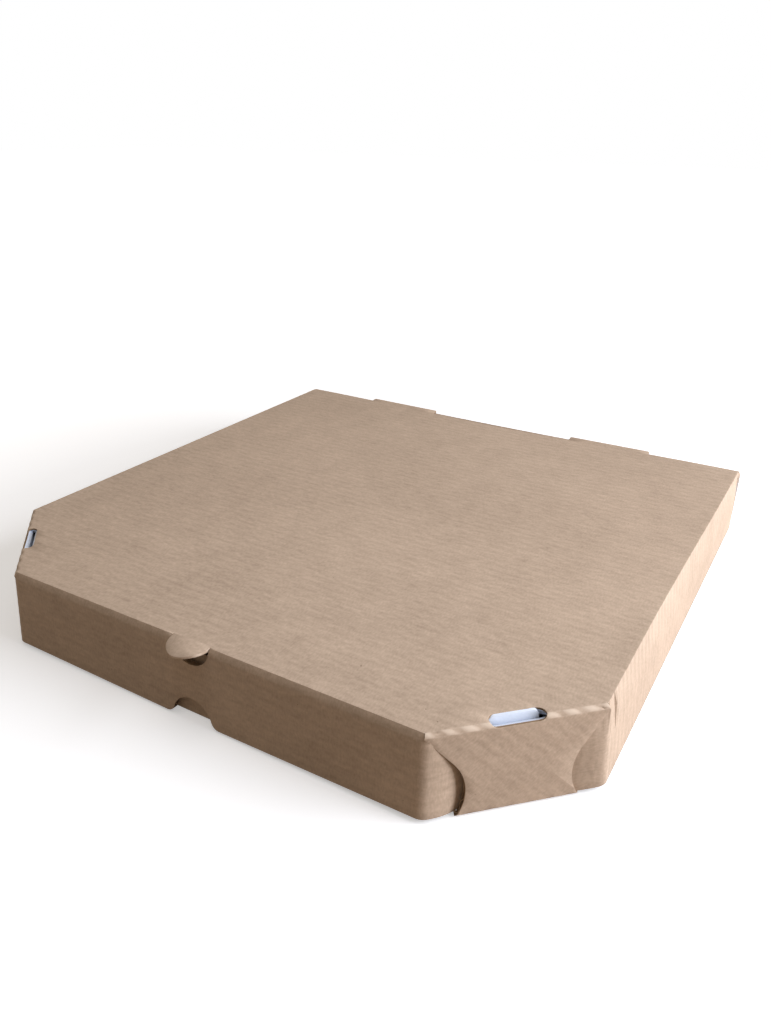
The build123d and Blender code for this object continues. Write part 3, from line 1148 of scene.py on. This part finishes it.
foot_slant = board - 2 * rim_softness
in_lid_foot = (lid_flat[0], np.where(np.abs(lid_flat[0]) < half_width, lid_flat[1], 0),
               lid_flat[2])
slant_edge(lid_board, in_lid_foot, rear_foot, (0, 0, foot_slant))
slant_edge(base_board, base_flat, hinge_y, (0, -foot_slant, 0))
work_on(base_board)
bpy.ops.transform.rotate(
    value=pi, orient_axis="Y", orient_type="GLOBAL", orient_matrix=Matrix.Identity(3),
    orient_matrix_type="GLOBAL", constraint_axis=(False, True, False), center_override=(0, 0, 0),
)
settle(base_board, flute_relief)
for sheet in (lid_board, base_board):
    corners = np.array([corner.co for corner in sheet.data.vertices])
    print(sheet.name, "from", corners.min(0).round(5).tolist(), "to", corners.max(0).round(5).tolist())

# %% [markdown]
# ## Finishes
# All finishes are drawn on the flat blank, so the flutes and the fibres run on round every
# fold, as they do in the real board. The helpers below add nodes and join them.

# %% Node helpers


def add(tree, kind, inputs=None, **settings):
    """Add a node, and fill its inputs with values or with the sockets of other nodes."""
    made = tree.nodes.new(kind)
    for name, value in settings.items():
        setattr(made, name, value)
    for name, value in (inputs or {}).items():
        if isinstance(value, bpy.types.NodeSocket):
            tree.links.new(value, made.inputs[name])
        else:
            made.inputs[name].default_value = value
    return made


def calc(tree, operation, *values):
    return add(tree, "ShaderNodeMath", dict(enumerate(values)), operation=operation).outputs[0]


def scale_to(tree, value, low, high, new_low, new_high):
    """Stretch a range of values to another and clamp it there."""
    limits = {"Value": value, "From Min": low, "From Max": high, "To Min": new_low,
              "To Max": new_high}
    return add(tree, "ShaderNodeMapRange", limits, clamp=True).outputs["Result"]


def noise(tree, place, scale, detail, stretch=(1, 1, 1)):
    stretched = add(tree, "ShaderNodeVectorMath", {0: place, 1: stretch}, operation="MULTIPLY")
    settings = {"Vector": stretched.outputs[0], "Scale": scale, "Detail": detail}
    return add(tree, "ShaderNodeTexNoise", settings).outputs[0]


def mix(tree, share, first, second):
    mixed = add(tree, "ShaderNodeMix", data_type="RGBA")
    for socket, value in ((0, share), (6, first), (7, second)):
        if isinstance(value, bpy.types.NodeSocket):
            tree.links.new(value, mixed.inputs[socket])
        else:
            mixed.inputs[socket].default_value = value
    return mixed.outputs[2]


def depth_of(tree):
    return add(tree, "ShaderNodeAttribute", attribute_name="depth").outputs["Fac"]


def blank_place(tree):
    """The place on the flat blank in metres, with the depth in the board as the third value."""
    flat = add(tree, "ShaderNodeUVMap", uv_map="blank").outputs["UV"]
    parts = add(tree, "ShaderNodeSeparateXYZ", {"Vector": flat}).outputs
    sunk = calc(tree, "MULTIPLY", depth_of(tree), board)
    return add(tree, "ShaderNodeCombineXYZ", {"X": parts[0], "Y": parts[1], "Z": sunk}).outputs[0]


def flute_wave(tree, place):
    """The wave of the core, from -1 to 1, at a place on the flat blank."""
    along = add(tree, "ShaderNodeSeparateXYZ", {"Vector": place}).outputs["Y"]
    return calc(tree, "SINE", calc(tree, "MULTIPLY", along, 2 * pi / flute_pitch))


def new_group(name, outputs):
    """A shared effect: its tree, and a way to hand out its results."""
    tree = bpy.data.node_groups.new(name, "ShaderNodeTree")
    for title, kind in outputs.items():
        tree.interface.new_socket(name=title, in_out="OUTPUT", socket_type=kind)
    results = tree.nodes.new("NodeGroupOutput").inputs
    return tree, results


def use_group(tree, group):
    return add(tree, "ShaderNodeGroup", node_tree=group).outputs


print("helpers ready")

# %% [markdown]
# Three effects are shared by the liners. The paper is made of fibres, most of them along the
# board, and it is a little cloudy. The flutes show through as faint bands. Specks are small
# bits of bark and ink that recycled paper keeps.

# %% Shared effects
VALUE, NORMAL = "NodeSocketFloat", "NodeSocketVector"

paper, paper_out = new_group("paper", {"Cloud": VALUE, "Fibre": VALUE, "Normal": NORMAL})
place = blank_place(paper)
cloud = calc(paper, "ADD", noise(paper, place, 9, 2), noise(paper, place, 60, 4))
fibre = calc(paper, "ADD", noise(paper, place, 520, 4, (0.35, 1, 1)),
             noise(paper, place, 1100, 3, (1, 0.4, 1)))
wrinkle = noise(paper, place, 160, 3, (1, 0.6, 1))
paper.links.new(scale_to(paper, cloud, 0.7, 1.3, 0, 1), paper_out["Cloud"])
paper.links.new(scale_to(paper, fibre, 0.7, 1.3, 0, 1), paper_out["Fibre"])
rough = add(paper, "ShaderNodeBump", {"Height": fibre, "Strength": 0.5, "Distance": 0.00003})
waved = add(paper, "ShaderNodeBump", {"Height": wrinkle, "Strength": 0.6, "Distance": 0.00018,
                                      "Normal": rough.outputs[0]})
paper.links.new(waved.outputs[0], paper_out["Normal"])

bands, bands_out = new_group("flute bands", {"Band": VALUE})
place = blank_place(bands)
wave = flute_wave(bands, place)
uneven = noise(bands, place, 14, 2, (1, 3, 1))
bands.links.new(scale_to(bands, calc(bands, "MULTIPLY", wave, uneven), -0.6, 0.6, 0, 1),
                bands_out["Band"])

specks, specks_out = new_group("specks", {"Mask": VALUE})
cells = add(specks, "ShaderNodeTexVoronoi", {
    "Vector": blank_place(specks), "Scale": 130, "Randomness": 1}, voronoi_dimensions="2D")
chance = add(specks, "ShaderNodeSeparateXYZ", {"Vector": cells.outputs["Color"]}).outputs[0]
size_of_speck = calc(specks, "MULTIPLY", calc(specks, "POWER", chance, 60), 0.055)
edge_of_speck = calc(specks, "SUBTRACT", size_of_speck, cells.outputs["Distance"])
specks.links.new(scale_to(specks, edge_of_speck, 0, 0.015, 0, 1), specks_out["Mask"])
print("effects:", [group.name for group in bpy.data.node_groups])

# %% [markdown]
# The kraft liner is brown, cloudy and matt. At its folds and rims it is painted lighter, partly
# as rubbing and partly as a painted highlight, with painted shade in the troughs between the
# bumps. The white liner is bluish, partly of its own and partly as painted cool light. A cut
# edge shows the wave of the core between the two liners, with its hollows painted dark as shade.

# %% Materials
kraft_pale = (0.65, 0.497, 0.370, 1)
kraft_deep = (0.40, 0.296, 0.214, 1)
# Lighter tone at folds and rims: partly rubbing, partly a painted highlight.
kraft_rubbing_highlight = (0.72, 0.58, 0.45, 1)
# Painted shade in the troughs between a fold's bumps.
kraft_trough_shade = (0.36, 0.25, 0.17, 1)
speck_brown = (0.10, 0.055, 0.03, 1)
# The white liner's blue is partly its own and partly painted cool light.
white_pale = (0.80, 0.86, 0.96, 1)
white_deep = (0.70, 0.76, 0.87, 1)
speck_grey = (0.32, 0.31, 0.31, 1)
core_pale = (0.42, 0.29, 0.18, 1)
core_deep = (0.30, 0.20, 0.12, 1)
# Painted shade in the open flutes of a cut edge.
cavity_shade = (0.035, 0.022, 0.013, 1)
liner_share = 0.13
wave_share = 0.1


def new_material(name):
    material = bpy.data.materials.new(name)
    material.use_nodes = True
    tree = material.node_tree
    return material, tree, tree.nodes["Principled BSDF"]


def make_liner(name, tones, band_share, roughness):
    """A paper liner: cloud, fibre, bands, specks; rubbing and painted highlight at folds, painted
    shade in troughs.
    """
    # The fourth tone, pressed, is the painted shade in the troughs between a fold's bumps.
    pale, deep, rubbing_highlight_tone, pressed, speck = tones
    material, tree, shader = new_material(name)
    sheet_look = use_group(tree, paper)
    band = use_group(tree, bands)["Band"]
    cloudy = calc(tree, "ADD", calc(tree, "MULTIPLY", sheet_look["Cloud"], 0.35),
                  calc(tree, "MULTIPLY", sheet_look["Fibre"], 0.65 - band_share))
    tone = calc(tree, "ADD", cloudy, calc(tree, "MULTIPLY", band, band_share))
    colour = mix(tree, tone, deep, pale)
    fold = add(tree, "ShaderNodeAttribute", attribute_name="fold").outputs["Fac"]
    bumps = calc(tree, "MULTIPLY_ADD", sheet_look["Cloud"], 0.8, calc(tree, "SUBTRACT", band, 0.4))
    # Folds and rims are painted lighter on the crests of their bumps: partly rubbing, partly a painted
    # highlight.
    rubbing_highlight_mask = calc(tree, "MULTIPLY", fold, scale_to(tree, bumps, 0.3, 0.9, 0.2, 0.9))
    # Painted shade in the troughs between the bumps, where the fold mask is full.
    trough_shade_mask = calc(tree, "MULTIPLY", calc(tree, "POWER", fold, 4),
                  scale_to(tree, bumps, 0.1, 0.4, 0.4, 0))
    colour = mix(tree, trough_shade_mask, mix(tree, rubbing_highlight_mask, colour, rubbing_highlight_tone), pressed)
    mask = calc(tree, "MULTIPLY", use_group(tree, specks)["Mask"], 0.8)
    tree.links.new(mix(tree, mask, colour, speck), shader.inputs["Base Color"])
    tree.links.new(sheet_look["Normal"], shader.inputs["Normal"])
    shader.inputs["Roughness"].default_value = roughness
    shader.inputs["Specular IOR Level"].default_value = 0.25
    return material


def make_cut_edge():
    """The rim of the board: two liners, and the wave of the core between hollows painted dark as
    shade.
    """
    material, tree, shader = new_material("cut_edge")
    depth_here = depth_of(tree)
    wave = flute_wave(tree, blank_place(tree))
    middle = calc(tree, "MULTIPLY_ADD", wave, -0.5 + liner_share + wave_share / 2, 0.5)
    off_wave = calc(tree, "ABSOLUTE", calc(tree, "SUBTRACT", depth_here, middle))
    off_middle = calc(tree, "ABSOLUTE", calc(tree, "SUBTRACT", depth_here, 0.5))
    in_wave = scale_to(tree, off_wave, wave_share * 0.6, wave_share, 1, 0)
    in_liner = scale_to(tree, off_middle, 0.45 - liner_share, 0.5 - liner_share, 0, 1)
    solid = calc(tree, "MAXIMUM", in_wave, in_liner)
    sheet_look = use_group(tree, paper)
    colour = mix(tree, sheet_look["Fibre"], core_deep, core_pale)
    crushed = scale_to(tree, sheet_look["Cloud"], 0.25, 0.75, 0.15, 0.75)
    filled = calc(tree, "MAXIMUM", solid, crushed)
    # Between the core and the liners, the open flutes are painted dark as their shade.
    tree.links.new(mix(tree, filled, cavity_shade, colour), shader.inputs["Base Color"])
    pressed = add(tree, "ShaderNodeBump", {"Height": filled, "Strength": 0.7, "Distance": 0.0003,
                                           "Normal": sheet_look["Normal"]})
    tree.links.new(pressed.outputs[0], shader.inputs["Normal"])
    shader.inputs["Roughness"].default_value = 0.95
    shader.inputs["Specular IOR Level"].default_value = 0.15
    return material


kraft_tones = kraft_pale, kraft_deep, kraft_rubbing_highlight, kraft_trough_shade, speck_brown
white_tones = white_pale, white_deep, white_pale, white_deep, speck_grey
kraft_liner = make_liner("kraft_liner", kraft_tones, 0.12, 0.72)
white_liner = make_liner("white_liner", white_tones, 0.15, 0.62)
cut_edge = make_cut_edge()
smooth_angle = radians(40)
for sheet in (lid_board, base_board):
    kinds = np.empty(len(sheet.data.polygons), dtype=np.int32)
    sheet.data.polygons.foreach_get("material_index", kinds)
    for material in (kraft_liner, white_liner, cut_edge):
        sheet.data.materials.append(material)
    sheet.data.polygons.foreach_set("material_index", kinds)
    work_on(sheet)
    bpy.ops.object.shade_smooth_by_angle(angle=smooth_angle)
    print(sheet.name, [slot.name for slot in sheet.material_slots])

# %% [markdown]
# ## Floor and light
# The floor and the air behind it are white to the camera. For the light that they throw back
# on the box, they are a dim warm brown. One large soft lamp stands to the right and a little
# behind the box, and a weak one hangs over its front edge.

# %% Floor
floor_size = 12
floor_drop = 0.0002
floor_fade_start = 0.3
floor_fade_end = 0.75
floor_brown = (0.29, 0.20, 0.13, 1)
floor_white = (0.9, 0.9, 0.9, 1)
white = (1, 1, 1, 1)


def seen(tree):
    """1 for a ray from the camera, or one that mirrors or passes through something."""
    rays = add(tree, "ShaderNodeLightPath").outputs
    glossy = calc(tree, "MAXIMUM", rays["Is Camera Ray"], rays["Is Glossy Ray"])
    return calc(tree, "MAXIMUM", glossy, rays["Is Transmission Ray"])


deselect()
bpy.ops.mesh.primitive_grid_add(x_subdivisions=8, y_subdivisions=8, size=floor_size)
floor = bpy.context.object
floor.name = "floor"
bpy.ops.transform.translate(value=(0, 0, -floor_drop))
bpy.ops.object.transform_apply(location=True, rotation=True, scale=True)
material, tree, shader = new_material("floor")
shown = seen(tree)
spot = add(tree, "ShaderNodeTexCoord").outputs["Object"]
from_box = add(tree, "ShaderNodeVectorMath", {0: spot}, operation="LENGTH").outputs["Value"]
far = scale_to(tree, from_box, floor_fade_start, floor_fade_end, 0, 1)
grain = noise(tree, spot, 40, 3)
brown = mix(tree, scale_to(tree, grain, 0.3, 0.7, 0, 0.25), floor_brown, kraft_deep)
tree.links.new(mix(tree, shown, brown, floor_white), shader.inputs["Base Color"])
glow = calc(tree, "MULTIPLY", shown, scale_to(tree, far, 0, 1, 0.42, 1))
tree.links.new(glow, shader.inputs["Emission Strength"])
shader.inputs["Emission Color"].default_value = white
shader.inputs["Roughness"].default_value = 0.9
shader.inputs["Specular IOR Level"].default_value = 0
floor.data.materials.append(material)
print("floor", floor_size, "m wide")

# %% Light
air_warm = (0.27, 0.23, 0.185, 1)
lamp_direction = Vector((1.35, 0.40, 0.62)).normalized()
lamp_distance = 1.3
lamp_power = 28
lamp_colour = (0.94, 0.98, 1.08)
lamp_size = 1.1
ceiling_place = Vector((0.06, -0.22, 0.38))
ceiling_size = 0.25
ceiling_power = 0.2
ceiling_colour = (0.90, 0.98, 1.12)

world = bpy.data.worlds.new("air")
world.use_nodes = True
bpy.context.scene.world = world
tree = world.node_tree
background = tree.nodes["Background"]
tree.links.new(mix(tree, seen(tree), air_warm, white), background.inputs["Color"])


def add_lamp(name, place, direction, size, power, colour):
    """A square soft lamp that shines against its direction."""
    data = bpy.data.lights.new(name, "AREA")
    data.shape = "SQUARE"
    data.size = size
    data.energy = power
    data.color = colour
    lamp = bpy.data.objects.new(name, data)
    lamp.location = place
    lamp.rotation_euler = direction.to_track_quat("Z", "Y").to_euler()
    bpy.context.collection.objects.link(lamp)
    print(name, "lamp at", tuple(round(c, 2) for c in place))


add_lamp("window", lamp_direction * lamp_distance, lamp_direction, lamp_size, lamp_power,
         lamp_colour)
add_lamp("ceiling", ceiling_place, Vector((0, 0, 1)), ceiling_size, ceiling_power, ceiling_colour)
bpy.context.scene.view_settings.view_transform = "Standard"

# %% [markdown]
# ## Into the frame
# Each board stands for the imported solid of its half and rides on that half's body.

# %% Ride on the bodies
for sheet, node in ((lid_board, "lid"), (base_board, "base")):
    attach(sheet, node)
    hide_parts(node)
